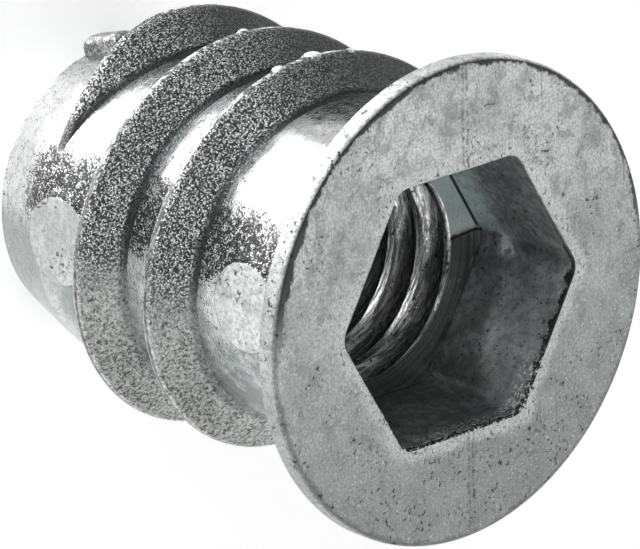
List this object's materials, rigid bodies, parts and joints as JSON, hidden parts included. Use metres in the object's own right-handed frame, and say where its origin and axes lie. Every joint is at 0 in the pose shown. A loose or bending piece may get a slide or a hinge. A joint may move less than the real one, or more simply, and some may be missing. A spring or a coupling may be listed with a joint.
{
  "type": "threaded insert",
  "caption": "Flanged screw-in insert for wood: a cast zinc-alloy sleeve with a coarse outer ridge, a hexagon drive socket in its flange and a machine screw thread inside.",
  "frame": {"origin": "centre of the tail face, on the axis, where the insert stands on a surface", "axes": "+Z along the axis from the tail towards the flange and its hexagon socket; the die's parting plane is y = 0, and the ejector pads face -Y"},
  "size_m": [0.015, 0.015, 0.016],
  "materials": {
    "zinc": "die-cast zinc alloy, bright on the body, fine-grained on the ridge's flanks, satin on the flange"
  },
  "bodies": {
    "root": {"insert": "zinc"}
  },
  "joints": []
}
